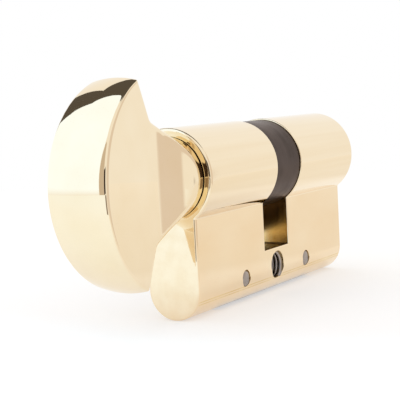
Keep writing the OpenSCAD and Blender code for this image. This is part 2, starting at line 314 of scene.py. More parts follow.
side_hole_edge = 0.14 * mm
past = 1 * mm
touch = 0.01 * mm
same_point = 1e-7


def arc(centre_y, centre_z, radius, start_deg, end_deg, steps):
    """Points (y, z) along an arc, both ends included."""
    return [
        (centre_y + radius * math.cos(math.radians(start_deg + (end_deg - start_deg) * i / steps)),
         centre_z + radius * math.sin(math.radians(start_deg + (end_deg - start_deg) * i / steps)))
        for i in range(steps + 1)
    ]


def prism_x(name, outline, x0, x1):
    """A closed bar along X with the outline (y, z), which runs anticlockwise seen from +X."""
    count = len(outline)
    points = [(x0, y, z) for y, z in outline] + [(x1, y, z) for y, z in outline]
    faces = [(i, (i + 1) % count, count + (i + 1) % count, count + i) for i in range(count)]
    faces.append(tuple(range(count - 1, -1, -1)))
    faces.append(tuple(range(count, 2 * count)))
    return mesh_piece(name, points, faces)


def block(name, low, high):
    """A closed block between two corners."""
    (x0, y0, z0), (x1, y1, z1) = low, high
    return prism_x(name, [(y0, z0), (y1, z0), (y1, z1), (y0, z1)], x0, x1)


def rod(name, axis, radius, start, end, centre=(0, 0, 0), sides=96):
    """A closed round bar along X, Y or Z, from start to end on that axis."""
    piece = prism_x(name, arc(0, 0, radius, 0, 360 - 360 / sides, sides - 1), start, end)
    turn = {
        "X": Matrix.Identity(4),
        "Y": Matrix.Rotation(math.radians(90), 4, "Z"),
        "Z": Matrix.Rotation(math.radians(-90), 4, "Y"),
    }[axis]
    piece.data.transform(Matrix.Translation(Vector(centre)) @ turn)
    return piece


def combine(piece, tools, operation="DIFFERENCE"):
    """Cuts the tools from a piece, joins them to it or keeps what they share, as one plain mesh."""
    for tool in tools:
        step = piece.modifiers.new("combine", "BOOLEAN")
        step.operation = operation
        step.solver = "MANIFOLD"
        step.object = tool
    bpy.context.view_layer.update()
    result = piece.evaluated_get(bpy.context.evaluated_depsgraph_get())
    mesh = bpy.data.meshes.new_from_object(result)
    mesh.materials.clear()
    piece.modifiers.clear()
    piece.data = mesh
    for tool in tools:
        bpy.data.objects.remove(tool)
    return piece


def at_ends(low, high):
    """Picks the points on the two end faces of a piece between x of low and x of high."""
    return lambda p: min(abs(p.x - low.x), abs(p.x - high.x)) < touch


def break_edges(piece, choose, radius, steps=3, flatten=True, sharp_deg=22, flat_deg=0.05):
    """Rounds the sharp edges that choose picks. It is asked about both ends of each edge.

    After a cut, flatten first takes out the edges that cross a flat face.
    """
    bm = bmesh.new()
    bm.from_mesh(piece.data)
    if flatten:
        bmesh.ops.remove_doubles(bm, verts=bm.verts, dist=same_point)
        bmesh.ops.dissolve_limit(
            bm, angle_limit=math.radians(flat_deg), verts=bm.verts, edges=bm.edges,
            use_dissolve_boundaries=False,
        )
    picked = [
        e for e in bm.edges
        if e.is_manifold and e.calc_face_angle(0) > math.radians(sharp_deg)
        and choose(e.verts[0].co) and choose(e.verts[1].co)
    ]
    bmesh.ops.bevel(
        bm, geom=picked, offset=radius, offset_type="OFFSET", segments=steps, profile=0.5,
        affect="EDGES", clamp_overlap=False, miter_outer="SHARP",
    )
    bmesh.ops.remove_doubles(bm, verts=bm.verts, dist=same_point)
    bmesh.ops.recalc_face_normals(bm, faces=bm.faces)
    bm.to_mesh(piece.data)
    bm.free()


def smooth(piece, sharp_deg=38):
    """Shades a piece smooth between its sharp edges, its large faces keeping their own direction."""
    for face in piece.data.polygons:
        face.use_smooth = True
    piece.data.set_sharp_from_angle(angle=math.radians(sharp_deg))
    weight = piece.modifiers.new("weighted_normals", "WEIGHTED_NORMAL")
    weight.keep_sharp = True
    weight.weight = 100


def middle(box):
    """The middle of a node's box along X and Z, on the plane of the plug axis."""
    low, high = box
    return (low.x + high.x) / 2, 0, (low.z + high.z) / 2


def cross_tools(reach):
    """Tools for the fixing hole and the two holes of the cross pins, reach long on each side."""
    return [rod("fixing_hole", "Y", thread_bore_r, -reach, reach, (0, 0, fixing_z), 72)] + [
        rod("cross_hole", "Y", cross_hole_r, -reach, reach, middle(box), 64) for box in bar_pin_boxes
    ]


def chamber_tools(foot, top):
    """Tools for the five pin chambers, from foot up to top."""
    return [
        rod("chamber", "Z", chamber_r, foot, top, (middle(box)[0], 0, 0), 48) for box in chamber_boxes
    ]


def foot_arc(start_y, end_y, steps):
    """Points (y, z) of the rounded foot, which runs smoothly into both faces of the web."""
    start, end = math.asin(start_y / web_half), math.asin(end_y / web_half)
    turns = [start + (end - start) * i / steps for i in range(steps + 1)]
    return [(web_half * math.sin(t), foot_z - foot_r * math.cos(t)) for t in turns]


def body_outline():
    """The drawn section (y, z): barrel, the small corners under it, and the web with its foot."""
    corner_y = web_half + inner_corner_r
    corner_z = -math.sqrt((barrel_r + inner_corner_r) ** 2 - corner_y ** 2)
    meet = math.degrees(math.atan2(-corner_z, corner_y))
    return (
        arc(0, 0, barrel_r, -meet, 180 + meet, 180)
        + arc(-corner_y, corner_z, inner_corner_r, meet, 0, 6)[1:]
        + foot_arc(-web_half, web_half, 64)
        + arc(corner_y, corner_z, inner_corner_r, 180, 180 - meet, 6)[:-1]
    )


lock_body = prism_x("lock_body_polished", body_outline(), body_low.x, body_high.x)
break_edges(lock_body, at_ends(body_low, body_high), end_edge, 5, flatten=False)
combine(lock_body, [
    rod("bore", "X", plug_bore_r, body_low.x - past, body_high.x + past, sides=128),
    rod("head_bore", "X", head_bore_r, body_high.x - head_depth, body_high.x + past, sides=128),
    block("slot", (-slot_half, -barrel_r - past, slot_floor), (slot_half, barrel_r + past, barrel_r + past)),
    block("pocket", (bar_low.x, bar_low.y, body_low.z - past), bar_high),
] + cross_tools(web_half + past) + chamber_tools(body_low.z - past, 0))


def on_slot_rim(p):
    """True on the edges round the mouth of the cam slot."""
    return abs(abs(p.x) - slot_half) < touch and p.z > slot_floor - touch


def on_side_hole(p):
    """True on the edges of the three holes in the faces of the web."""
    return abs(abs(p.y) - web_half) < touch and body_low.z + past < p.z < slot_floor - past


break_edges(lock_body, on_slot_rim, slot_rim_edge)
break_edges(lock_body, on_side_hole, side_hole_edge)
smooth(lock_body)


def finish_group():
    """Colour, roughness and height of a worked metal surface, with tool lines along or round it."""
    tree = bpy.data.node_groups.new("worked_metal", "ShaderNodeTree")
    panel = tree.interface
    for name, kind, value in (
        ("Bright", "NodeSocketColor", (0.9, 0.76, 0.52, 1)),
        ("Deep", "NodeSocketColor", (0.8, 0.6, 0.36, 1)),
        ("Line scale", "NodeSocketVector", (30, 2000, 2000)),
        ("Turned", "NodeSocketFloat", 0.0),
        ("Smooth", "NodeSocketFloat", 0.03),
        ("Rough", "NodeSocketFloat", 0.08),
        ("Streaks", "NodeSocketVector", (170, 170, 170)),
        ("Line depth", "NodeSocketFloat", 0.1),
        ("Wave depth", "NodeSocketFloat", 1.0),
    ):
        socket = panel.new_socket(name, in_out="INPUT", socket_type=kind)
        socket.default_value = value
    panel.new_socket("Colour", in_out="OUTPUT", socket_type="NodeSocketColor")
    panel.new_socket("Roughness", in_out="OUTPUT", socket_type="NodeSocketFloat")
    panel.new_socket("Height", in_out="OUTPUT", socket_type="NodeSocketFloat")
    new, link = tree.nodes.new, tree.links.new
    given = new("NodeGroupInput")
    out = new("NodeGroupOutput")
    place = new("ShaderNodeTexCoord")

    split = new("ShaderNodeSeparateXYZ")
    link(place.outputs["Object"], split.inputs["Vector"])
    across = new("ShaderNodeCombineXYZ")
    link(split.outputs["Y"], across.inputs["Y"])
    link(split.outputs["Z"], across.inputs["Z"])
    radius = new("ShaderNodeVectorMath")
    radius.operation = "LENGTH"
    link(across.outputs["Vector"], radius.inputs[0])
    ringed = new("ShaderNodeCombineXYZ")
    link(split.outputs["X"], ringed.inputs["X"])
    link(radius.outputs["Value"], ringed.inputs["Y"])
    path = new("ShaderNodeMix")
    path.data_type = "VECTOR"
    link(given.outputs["Turned"], path.inputs["Factor"])
    link(place.outputs["Object"], path.inputs["A"])
    link(ringed.outputs["Vector"], path.inputs["B"])

    stretched = new("ShaderNodeVectorMath")
    stretched.operation = "MULTIPLY"
    link(path.outputs["Result"], stretched.inputs[0])
    link(given.outputs["Line scale"], stretched.inputs[1])
    lines = new("ShaderNodeTexNoise")
    lines.inputs["Scale"].default_value = 1
    lines.inputs["Detail"].default_value = 4
    lines.inputs["Roughness"].default_value = 0.65
    link(stretched.outputs["Vector"], lines.inputs["Vector"])

    waves = new("ShaderNodeTexNoise")
    waves.inputs["Scale"].default_value = 95
    waves.inputs["Detail"].default_value = 1.5
    link(place.outputs["Object"], waves.inputs["Vector"])

    drawn_out = new("ShaderNodeVectorMath")
    drawn_out.operation = "MULTIPLY"
    link(place.outputs["Object"], drawn_out.inputs[0])
    link(given.outputs["Streaks"], drawn_out.inputs[1])
    clouds = new("ShaderNodeTexNoise")
    clouds.inputs["Scale"].default_value = 1
    clouds.inputs["Detail"].default_value = 5
    link(drawn_out.outputs["Vector"], clouds.inputs["Vector"])

    patches = new("ShaderNodeMapRange")
    patches.inputs["From Min"].default_value = 0.3
    patches.inputs["From Max"].default_value = 0.7
    link(clouds.outputs["Fac"], patches.inputs["Value"])
    tint = colour_mix(tree, patches.outputs["Result"], given.outputs["Bright"], given.outputs["Deep"])
    link(tint, out.inputs["Colour"])

    haze = product(tree, lines.outputs["Fac"], clouds.outputs["Fac"])
    rough = new("ShaderNodeMapRange")
    rough.inputs["From Min"].default_value = 0.15
    rough.inputs["From Max"].default_value = 0.40
    link(haze, rough.inputs["Value"])
    link(given.outputs["Smooth"], rough.inputs["To Min"])
    link(given.outputs["Rough"], rough.inputs["To Max"])
    link(rough.outputs["Result"], out.inputs["Roughness"])

    height = new("ShaderNodeMath")
    height.operation = "MULTIPLY_ADD"
    link(waves.outputs["Fac"], height.inputs[0])
    link(given.outputs["Wave depth"], height.inputs[1])
    link(product(tree, lines.outputs["Fac"], given.outputs["Line depth"]), height.inputs[2])
    link(height.outputs["Value"], out.inputs["Height"])
    return tree


worked_metal = finish_group()


def metal(name, bright, deep, lines, rough, line_depth, wave_depth, streaks=(170, 170, 170), turned=False):
    """A metal finish between a bright and a deep colour, and between two roughness values.

    Lines and streaks say how fine the tool lines and the colour streaks are along X, Y and Z,
    or along X and outwards where it was turned. Depths are in thousandths of a millimetre.
    """
    material = bpy.data.materials.new(name)
    material.use_nodes = True
    tree = material.node_tree
    shader = tree.nodes["Principled BSDF"]
    shader.inputs["Metallic"].default_value = 1
    surface = tree.nodes.new("ShaderNodeGroup")
    surface.node_tree = worked_metal
    for socket, value in (
        ("Bright", (*bright, 1)), ("Deep", (*deep, 1)), ("Line scale", lines), ("Turned", float(turned)),
        ("Smooth", rough[0]), ("Rough", rough[1]), ("Streaks", streaks),
        ("Line depth", line_depth), ("Wave depth", wave_depth),
    ):
        surface.inputs[socket].default_value = value
    relief = tree.nodes.new("ShaderNodeBump")
    relief.inputs["Strength"].default_value = 1
    relief.inputs["Distance"].default_value = mm / 1000
    tree.links.new(surface.outputs["Colour"], shader.inputs["Base Color"])
    tree.links.new(surface.outputs["Roughness"], shader.inputs["Roughness"])
    tree.links.new(surface.outputs["Height"], relief.inputs["Height"])
    tree.links.new(relief.outputs["Normal"], shader.inputs["Normal"])
    return material


body_brass = metal(
    "polished_brass_barrel", (0.925, 0.790, 0.575), (0.885, 0.725, 0.495),
    lines=(30, 2400, 2400), rough=(0.02, 0.075), line_depth=0.25, wave_depth=14, streaks=(9, 420, 420),
)
# The web's sides are a deeper, warmer brass than the barrel: painted reflection of warm light from the table
# near the foot. Their streaks and roughness are their own.
web_brass_painted_reflection = metal(
    "polished_brass_web_painted_reflection", (0.905, 0.740, 0.512), (0.878, 0.682, 0.438),
    lines=(30, 2400, 2400), rough=(0.03, 0.095), line_depth=0.3, wave_depth=16, streaks=(60, 60, 130),
)
# The cut faces are milled, rougher and lined; their darker, deeper colour is painted shade in the slot, the
# bores, the chambers, the pocket and the holes.
milled_brass_painted_shade = metal(
    "milled_brass_painted_shade", (0.88, 0.70, 0.38), (0.80, 0.58, 0.27),
    lines=(900, 2600, 120), rough=(0.14, 0.26), line_depth=1.5, wave_depth=22,
)
web_top = -7 * mm
wall_slack = 0.004 * mm
hole_slack = 0.02 * mm
pocket_slack = 0.05 * mm
face_inset = 0.1 * mm


def is_milled(face):
    """True for the faces of the slot, the bores, the chambers, the pocket and the holes."""
    c = face.center
    from_axis = math.hypot(c.y, c.z)
    in_slot = abs(c.x) < slot_half + wall_slack and c.z > slot_floor - wall_slack
    in_bore = from_axis < head_bore_r + hole_slack and abs(c.x) < body_high.x - hole_slack
    in_pocket = (
        abs(c.x) < bar_high.x + pocket_slack and abs(c.y) < bar_high.y + pocket_slack
        and c.z < bar_high.z + pocket_slack
    )
    cross_holes = [((0, 0, fixing_z), thread_bore_r)] + [(middle(box), cross_hole_r) for box in bar_pin_boxes]
    in_cross = abs(c.y) < web_half - face_inset and any(
        math.hypot(c.x - x, c.z - z) < radius + hole_slack for (x, _, z), radius in cross_holes
    )
    in_chamber = from_axis > plug_bore_r - pocket_slack and abs(face.normal.z) < 0.5 and any(
        math.hypot(c.x - middle(box)[0], c.y) < chamber_r + hole_slack for box in chamber_boxes
    )
    return in_slot or in_bore or in_pocket or in_cross or in_chamber


for finish in (body_brass, milled_brass_painted_shade, web_brass_painted_reflection):
    lock_body.data.materials.append(finish)
for face in lock_body.data.polygons:
    # Faces in the cuts take the milled brass with its painted shade.
    if is_milled(face):
        face.material_index = 1
    # The web's sides take the warmer brass, a painted reflection.
    elif abs(face.normal.x) < 0.5 and face.center.z < web_top:
        face.material_index = 2
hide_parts("lock_body")
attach(lock_body, "base")

# The reinforcing bar is milled steel, let into the foot of the body from below and
# drilled across for the fixing thread and for the two pins that hold it.
bar_end_edge = 0.2 * mm


def bar_outline():
    """The bar's section (y, z), with the body's own foot."""
    half = bar_high.y
    return foot_arc(-half, half, 24) + [(half, bar_high.z), (-half, bar_high.z)]


reinforcing_bar = prism_x("reinforcing_bar_milled", bar_outline(), bar_low.x, bar_high.x)
break_edges(reinforcing_bar, at_ends(bar_low, bar_high), bar_end_edge, flatten=False)
combine(reinforcing_bar, cross_tools(web_half))
smooth(reinforcing_bar)
bar_steel = metal(
    "milled_bar_steel", (0.60, 0.585, 0.56), (0.46, 0.445, 0.425),
    lines=(60, 3000, 3000), rough=(0.24, 0.40), line_depth=2.5, wave_depth=6,
)
reinforcing_bar.data.materials.append(bar_steel)
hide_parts("reinforcing_bar")
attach(reinforcing_bar, "base")

# The M5 fixing thread is a steel wire insert wound into the cross hole, its turns
# lying side by side from one face of the web to the other.
thread_pitch = 0.8 * mm
thread_core_r = mounts["fixing_thread"]["dims"]["r_mm"] * mm
thread_wire_depth = thread_bore_r - 0.01 * mm - thread_core_r
thread_crest_w = 0.16 * mm
thread_root_w = 0.77 * mm
thread_turns = 11.2


def winding_tree():
    """Geometry Nodes that wind a wire of keystone section round Z, from half its height down to half up."""
    tree = bpy.data.node_groups.new("thread_insert", "GeometryNodeTree")
    panel = tree.interface
    for name in ("Core radius", "Wire depth", "Crest width", "Root width", "Pitch", "Turns"):
        panel.new_socket(name, in_out="INPUT", socket_type="NodeSocketFloat")
    panel.new_socket("Steps a turn", in_out="INPUT", socket_type="NodeSocketInt")
    panel.new_socket("Steel", in_out="INPUT", socket_type="NodeSocketMaterial")
    panel.new_socket("Insert", in_out="OUTPUT", socket_type="NodeSocketGeometry")
    new, link = tree.nodes.new, tree.links.new
    given = new("NodeGroupInput")
    out = new("NodeGroupOutput")
    path_r = new("ShaderNodeMath")
    path_r.operation = "ADD"
    link(given.outputs["Core radius"], path_r.inputs[0])
    link(product(tree, given.outputs["Wire depth"], 0.5), path_r.inputs[1])
    rise = product(tree, given.outputs["Pitch"], given.outputs["Turns"])
    start = new("ShaderNodeCombineXYZ")
    link(product(tree, rise, -0.5), start.inputs["Z"])

    path = new("GeometryNodeCurveSpiral")
    link(given.outputs["Steps a turn"], path.inputs["Resolution"])
    link(given.outputs["Turns"], path.inputs["Rotations"])
    link(path_r.outputs["Value"], path.inputs["Start Radius"])
    link(path_r.outputs["Value"], path.inputs["End Radius"])
    link(rise, path.inputs["Height"])
    upright = new("GeometryNodeSetCurveNormal")
    upright.mode = "Z_UP"
    link(path.outputs["Curve"], upright.inputs["Curve"])

    section = new("GeometryNodeCurvePrimitiveQuadrilateral")
    section.mode = "TRAPEZOID"
    link(given.outputs["Wire depth"], section.inputs["Height"])
    link(given.outputs["Root width"], section.inputs["Bottom Width"])
    link(given.outputs["Crest width"], section.inputs["Top Width"])
    section.inputs["Offset"].default_value = 0
    aimed = new("GeometryNodeTransform")
    aimed.inputs["Rotation"].default_value = (0, 0, math.radians(-90))
    link(section.outputs["Curve"], aimed.inputs["Geometry"])

    wire = new("GeometryNodeCurveToMesh")
    wire.inputs["Fill Caps"].default_value = True
    link(upright.outputs["Curve"], wire.inputs["Curve"])
    link(aimed.outputs["Geometry"], wire.inputs["Profile Curve"])
    centred = new("GeometryNodeTransform")
    link(start.outputs["Vector"], centred.inputs["Translation"])
    link(wire.outputs["Mesh"], centred.inputs["Geometry"])
    real = new("GeometryNodeRealizeInstances")
    link(centred.outputs["Geometry"], real.inputs["Geometry"])
    steel = new("GeometryNodeSetMaterial")
    link(real.outputs["Geometry"], steel.inputs["Geometry"])
    link(given.outputs["Steel"], steel.inputs["Material"])
    link(steel.outputs["Geometry"], out.inputs["Insert"])
    return tree


def grown(name, tree, values):
    """Runs a Geometry Nodes tree with its named values and keeps the result as a plain mesh."""
    piece = mesh_piece(name, [], [])
    step = piece.modifiers.new("grown", "NODES")
    step.node_group = tree
    sockets = {item.name: item.identifier for item in tree.interface.items_tree if item.in_out == "INPUT"}
    for socket, value in values.items():
        step[sockets[socket]] = value
    bpy.context.view_layer.update()
    result = piece.evaluated_get(bpy.context.evaluated_depsgraph_get())
    mesh = bpy.data.meshes.new_from_object(result)
    piece.modifiers.clear()
    piece.data = mesh
    return piece


thread_steel = metal(
    "thread_steel", (0.44, 0.39, 0.36), (0.30, 0.265, 0.245),
    lines=(1500, 1500, 1500), rough=(0.34, 0.50), line_depth=1.0, wave_depth=3,
)
fixing_thread = grown("fixing_thread_insert", winding_tree(), {
    "Core radius": thread_core_r, "Wire depth": thread_wire_depth, "Crest width": thread_crest_w,
    "Root width": thread_root_w, "Pitch": thread_pitch, "Turns": thread_turns,
    "Steps a turn": 48, "Steel": thread_steel,
})
fixing_thread.data.transform(
    Matrix.Translation((0, 0, fixing_z)) @ Matrix.Rotation(math.radians(90), 4, "X")
)
bm = bmesh.new()
bm.from_mesh(fixing_thread.data)
bmesh.ops.remove_doubles(bm, verts=bm.verts, dist=same_point)
bmesh.ops.recalc_face_normals(bm, faces=bm.faces)
bm.to_mesh(fixing_thread.data)
bm.free()
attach(fixing_thread, "base")

# Two ground steel pins cross the web and the bar. Each has a small lead-in at both
# ends and stays just under the polished face.
pin_lead = 0.30 * mm
pin_under = 0.12 * mm


def turned(name, profile, sides):
    """A closed turned piece about the X axis. The profile (x, radius) runs from one pole to the other."""
    points = []
    rings = []
    for x, radius in profile:
        if radius < 1e-9:
            rings.append([len(points)])
            points.append((x, 0, 0))
        else:
            rings.append(list(range(len(points), len(points) + sides)))
            points += [
                (x, radius * math.cos(math.tau * i / sides), radius * math.sin(math.tau * i / sides))
                for i in range(sides)
            ]
    faces = []
    for a, b in zip(rings, rings[1:]):
        for i in range(sides):
            j = (i + 1) % sides
            if len(a) == 1:
                faces.append((a[0], b[j], b[i]))
            elif len(b) == 1:
                faces.append((a[i], a[j], b[0]))
            else:
                faces.append((a[i], a[j], b[j], b[i]))
    piece = mesh_piece(name, points, faces)
    bm = bmesh.new()
    bm.from_mesh(piece.data)
    bmesh.ops.recalc_face_normals(bm, faces=bm.faces)
    bm.to_mesh(piece.data)
    bm.free()
    return piece


pin_steel = metal(
    "ground_pin_steel", (0.48, 0.42, 0.375), (0.29, 0.25, 0.225),
    lines=(1400, 1400, 500), rough=(0.22, 0.40), line_depth=7, wave_depth=7,
)
for node, box in zip(("bar_pin_left", "bar_pin_right"), bar_pin_boxes):
    low, high = box
    pin_r = (high.x - low.x) / 2
    end = high.y - pin_under
    half_profile = [(end, 0), (end, 0.35 * pin_r)] + [
        (end - along * pin_lead, pin_r - inwards * pin_lead)
        for along, inwards in ((0, 1), (0.4, 0.45), (1, 0.12), (1.8, 0))
    ]
    bar_pin = turned(node + "_ground", [(-x, r) for x, r in half_profile] + half_profile[::-1], 64)
    bar_pin.data.transform(Matrix.Translation(middle(box)) @ Matrix.Rotation(math.radians(90), 4, "Z"))
    smooth(bar_pin)
    bar_pin.data.materials.append(pin_steel)
    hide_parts(node)
    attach(bar_pin, "base")

# Five stacks of pins fill the chambers, each on its own spring: a brass key pin above
# and a steel driver below. The two outer chambers are closed by brass plugs, driven in
# and dressed flush with the foot.
plug_brass = metal(
    "turned_plug_brass", (0.88, 0.73, 0.50), (0.80, 0.62, 0.39),
    lines=(60, 2600, 0), rough=(0.10, 0.22), line_depth=1.6, wave_depth=6, turned=True,
)
spring_steel = metal(
    "spring_wire", (0.55, 0.54, 0.53), (0.42, 0.41, 0.40),
    lines=(800, 800, 800), rough=(0.20, 0.35), line_depth=1, wave_depth=3,
)


def dress(node, finish):
    """Gives a CAD node its finish."""
    materials = nodes[node].data.materials
    materials.clear()
    materials.append(finish)


for i in (1, 2, 3, 4, 5):
    dress(f"key_pin_{i}", plug_brass)
    dress(f"driver_pin_{i}", pin_steel)
    dress(f"pin_spring_{i}", spring_steel)

chamber_plug_r = chamber_r - 0.01 * mm
chamber_plug_edge = 0.06 * mm
chamber_plug_xs = [middle(box)[0] for box in chamber_boxes if middle(box)[0] > bar_high.x]
chamber_plugs, *other_plugs = [
    rod("chamber_plugs_dressed", "Z", chamber_plug_r, body_low.z - past, bar_high.z, (x, 0, 0), 64)
    for x in chamber_plug_xs
]
combine(chamber_plugs, other_plugs, "UNION")
combine(chamber_plugs, [prism_x("foot_form", body_outline(), body_low.x, body_high.x)], "INTERSECT")
break_edges(chamber_plugs, lambda p: p.z < foot_z - 4 * mm, chamber_plug_edge)
smooth(chamber_plugs)
chamber_plugs.data.materials.append(body_brass)
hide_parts("chamber_plugs")
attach(chamber_plugs, "base")

# The key plug is turned brass with a flange that sits in the end face. The keyway is
# broached through it, with one ward groove on each side, and a clip holds it inside.
flange_edge = 0.3 * mm
flange_back_edge = 0.1 * mm
shoulder_edge = 0.15 * mm
keyway_edge = 0.08 * mm
keyway_half_w = 1.1 * mm
keyway_half_h = 4.3 * mm
ward_in = 0.5 * mm
plug_r = plug_bore_r - 0.05 * mm
journal_r = 5.5 * mm
clip_groove_r = 4.9 * mm
clip_inner_x = 4.05 * mm


def keyway_outline():
    """The keyway (y, z), with a ward groove low on one side and one higher on the other."""
    w, h, d = keyway_half_w, keyway_half_h, ward_in
    return [
        (-w, -h), (w, -h), (w, -0.3 * h), (d, -0.15 * h), (d, 0.15 * h), (w, 0.3 * h), (w, h), (-w, h),
        (-w, 0.75 * h), (-d, 0.6 * h), (-d, 0.35 * h), (-w, 0.2 * h),
    ]


def rounded_profile(corners, steps=4):
    """The profile (x, radius) through corners (x, radius, rounding), each rounded by its own size."""
    path = []
    for k, (x, r, size) in enumerate(corners):
        if size == 0:
            path.append((x, r))
            continue
        here = Vector((x, r))
        before = (Vector(corners[k - 1][:2]) - here).normalized() * size
        after = (Vector(corners[k + 1][:2]) - here).normalized() * size
        for i in range(steps + 1):
            t = i / steps
            point = here + before * (1 - t) ** 2 + after * t ** 2
            path.append((point.x, point.y))
    return path


key_plug = turned("key_plug_turned", rounded_profile([
    (plug_low.x, 0, 0), (plug_low.x, journal_r, shoulder_edge),
    (clip_inner_x, journal_r, 0), (clip_inner_x, clip_groove_r, 0),
    (slot_half, clip_groove_r, 0), (slot_half, plug_r, shoulder_edge),
    (plug_high.x - head_depth, plug_r, 0), (plug_high.x - head_depth, plug_high.y, flange_back_edge),
    (plug_high.x, plug_high.y, flange_edge), (plug_high.x, 0, 0),
]), 128)
keyway = prism_x("keyway", keyway_outline(), plug_low.x - past, plug_high.x + past)
combine(key_plug, [keyway] + chamber_tools(-2 * plug_r, past))
break_edges(
    key_plug, lambda p: abs(p.x - plug_high.x) < touch and abs(p.y) < 2 * keyway_half_w, keyway_edge
)
smooth(key_plug)
key_plug.data.materials.append(plug_brass)
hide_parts("key_plug")
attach(key_plug, "base")
dress("plug_clip", spring_steel)
dress("turn_clip", spring_steel)

# The cam is a dark sintered steel ring with one lug, brushed round its outside. Its ends
# and edges are painted blacker still, as painted shade of the narrow gaps beside the slot
# walls. It turns in the slot between the two halves, and is driven through slots in its bore.
cam_r = cam_high.z
cam_half = cam_high.x
cam_edge = 0.28 * mm
lug_edge = 0.35 * mm
lug_reach = 15.0 * mm
lug_half_w = 3.95 * mm
lug_angle = math.radians(30)
lug_side = math.sqrt(lug_reach ** 2 - lug_half_w ** 2)
lug_spread = math.degrees(math.asin(lug_half_w / lug_reach))
cam_bore_r = 5.55 * mm
recess_r = 7.1 * mm
recess_x = 3.9 * mm
drive_slot_half = 1 * mm
drive_slot_r = 6.45 * mm

cam = turned("cam_sintered", rounded_profile([
    (-cam_half, 0, 0), (-cam_half, cam_r, cam_edge), (cam_half, cam_r, cam_edge), (cam_half, 0, 0),
]), 192)
lug_tip = arc(0, 0, lug_reach, 270 - lug_spread, 270 + lug_spread, 24)[1:-1]
lug = prism_x(
    "lug",
    [(-lug_half_w, 0), (-lug_half_w, -lug_side)] + lug_tip + [(lug_half_w, -lug_side), (lug_half_w, 0)],
    -cam_half, cam_half,
)
break_edges(lug, lambda p: p.z < -1 * mm, lug_edge, 4, flatten=False)
lug.data.transform(Matrix.Rotation(lug_angle, 4, "X"))
combine(cam, [lug], "UNION")
drive_slot = combine(
    rod("drive_slot", "X", drive_slot_r, -slot_half, slot_half, sides=96),
    [block("slot_width", (-slot_half, -drive_slot_half, -cam_r), (slot_half, drive_slot_half, cam_r))],
    "INTERSECT",
)
combine(cam, [
    rod("cam_bore", "X", cam_bore_r, -slot_half, slot_half, sides=128),
    rod("recess_left", "X", recess_r, -slot_half - past, -recess_x, sides=128),
    rod("recess_right", "X", recess_r, recess_x, slot_half + past, sides=128),
    drive_slot,
])
smooth(cam)
cam_steel = metal(
    "dark_cam_steel", (0.088, 0.066, 0.058), (0.060, 0.045, 0.039),
    lines=(2600, 90, 90), rough=(0.28, 0.44), line_depth=3.5, wave_depth=4,
)
# Near black for the cam's ends and edges: painted shade of the gaps beside the slot walls.
cam_edge_painted_shade = metal(
    "black_cam_edge_painted_shade", (0.030, 0.020, 0.016), (0.018, 0.012, 0.010),
    lines=(900, 900, 900), rough=(0.30, 0.44), line_depth=2, wave_depth=4,
)
cam_sheen = (0.84, 0.79, 0.76, 1)
cam_steel.node_tree.nodes["Principled BSDF"].inputs["Specular Tint"].default_value = cam_sheen
cam.data.materials.append(cam_steel)
cam.data.materials.append(cam_edge_painted_shade)
# The ends and edge roundings take the painted shade.
for face in cam.data.polygons:
    if abs(face.normal.x) > 0.2:
        face.material_index = 1
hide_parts("cam")
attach(cam, "turn")

# The clutch is a steel disc that slides in the bore of the cam on its own spring. The
# spindle is turned brass, held by a clip, and its nose is pressed into the thumb turn.
dress("clutch", bar_steel)
dress("clutch_spring", spring_steel)
dress("turn_spindle", plug_brass)

# The thumb turn is turned from one brass bar: a collar, a cone, a shallow back, a sharp
# rim and a deep dome. Both sides are then milled: flared towards the dome, flat by the
# neck and hollow at the collar. It is mirror polished. Its collar is painted a deeper gold,
# painted reflection of the brass body beside it, and the collar's hidden end dark brown,
# painted shade of the gap against the body.
knob_low, knob_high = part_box("thumb_turn")
front_x = knob_low.x / mm
rim_x = body_low.x / mm - 14.2
rim_r = 17.2
dome_depth = rim_x - front_x
dome_r = (rim_r ** 2 + dome_depth ** 2) / (2 * dome_depth)
dome_centre = front_x + dome_r
neck_top_x = body_low.x / mm - 10.7
neck_top_r = 10.8
collar_x = body_low.x / mm - 2
collar_r = 7.1
collar_gap = 0.10
collar_end_x = knob_high.x / mm - collar_gap
collar_edge = 0.12
nose_bore_r = 3.01
nose_bore_x = body_low.x / mm - 7.9
flat_half = 4.0
flare = math.radians(5.4)
crease_x = body_low.x / mm - 9.85
crease_r = 32.0
hollow_r = 6.0
hollow_end_x = body_low.x / mm - 1.7
rim_edge = 0.12
blade_edge = 0.42
neck_edge = 0.7
neck_edge_x = neck_top_x - 2.4
neck_edge_run = 3.0
cone_blend = 0.5


def side_half(x):
    """Half thickness of the blade at x, in millimetres: flare, crease, flat and hollow."""
    x = np.asarray(x, float)
    reach = crease_r * math.tan(flare / 2)
    flared = flat_half + (crease_x - x) * math.tan(flare)
    along_crease = np.clip((crease_x + reach - x) / crease_r, 0, 1)
    creased = flat_half + crease_r * (1 - np.cos(np.arcsin(along_crease)))
    turn = math.acos(1 - (collar_r - flat_half) / hollow_r)
    start = hollow_end_x - hollow_r * math.sin(turn)
    along_hollow = np.clip((x - start) / hollow_r, 0, 0.985)
    hollow = flat_half + hollow_r * (1 - np.sqrt(1 - along_hollow ** 2))
    by_neck = np.where(x < crease_x + reach, creased, hollow)
    return np.where(x < crease_x - reach * math.cos(flare), flared, by_neck)


def blend_out(a, b, size):
    """The larger of two distances, rounded where they meet."""
    h = np.clip(size - np.abs(a - b), 0, None) / size
    return np.maximum(a, b) + h * h * size / 4


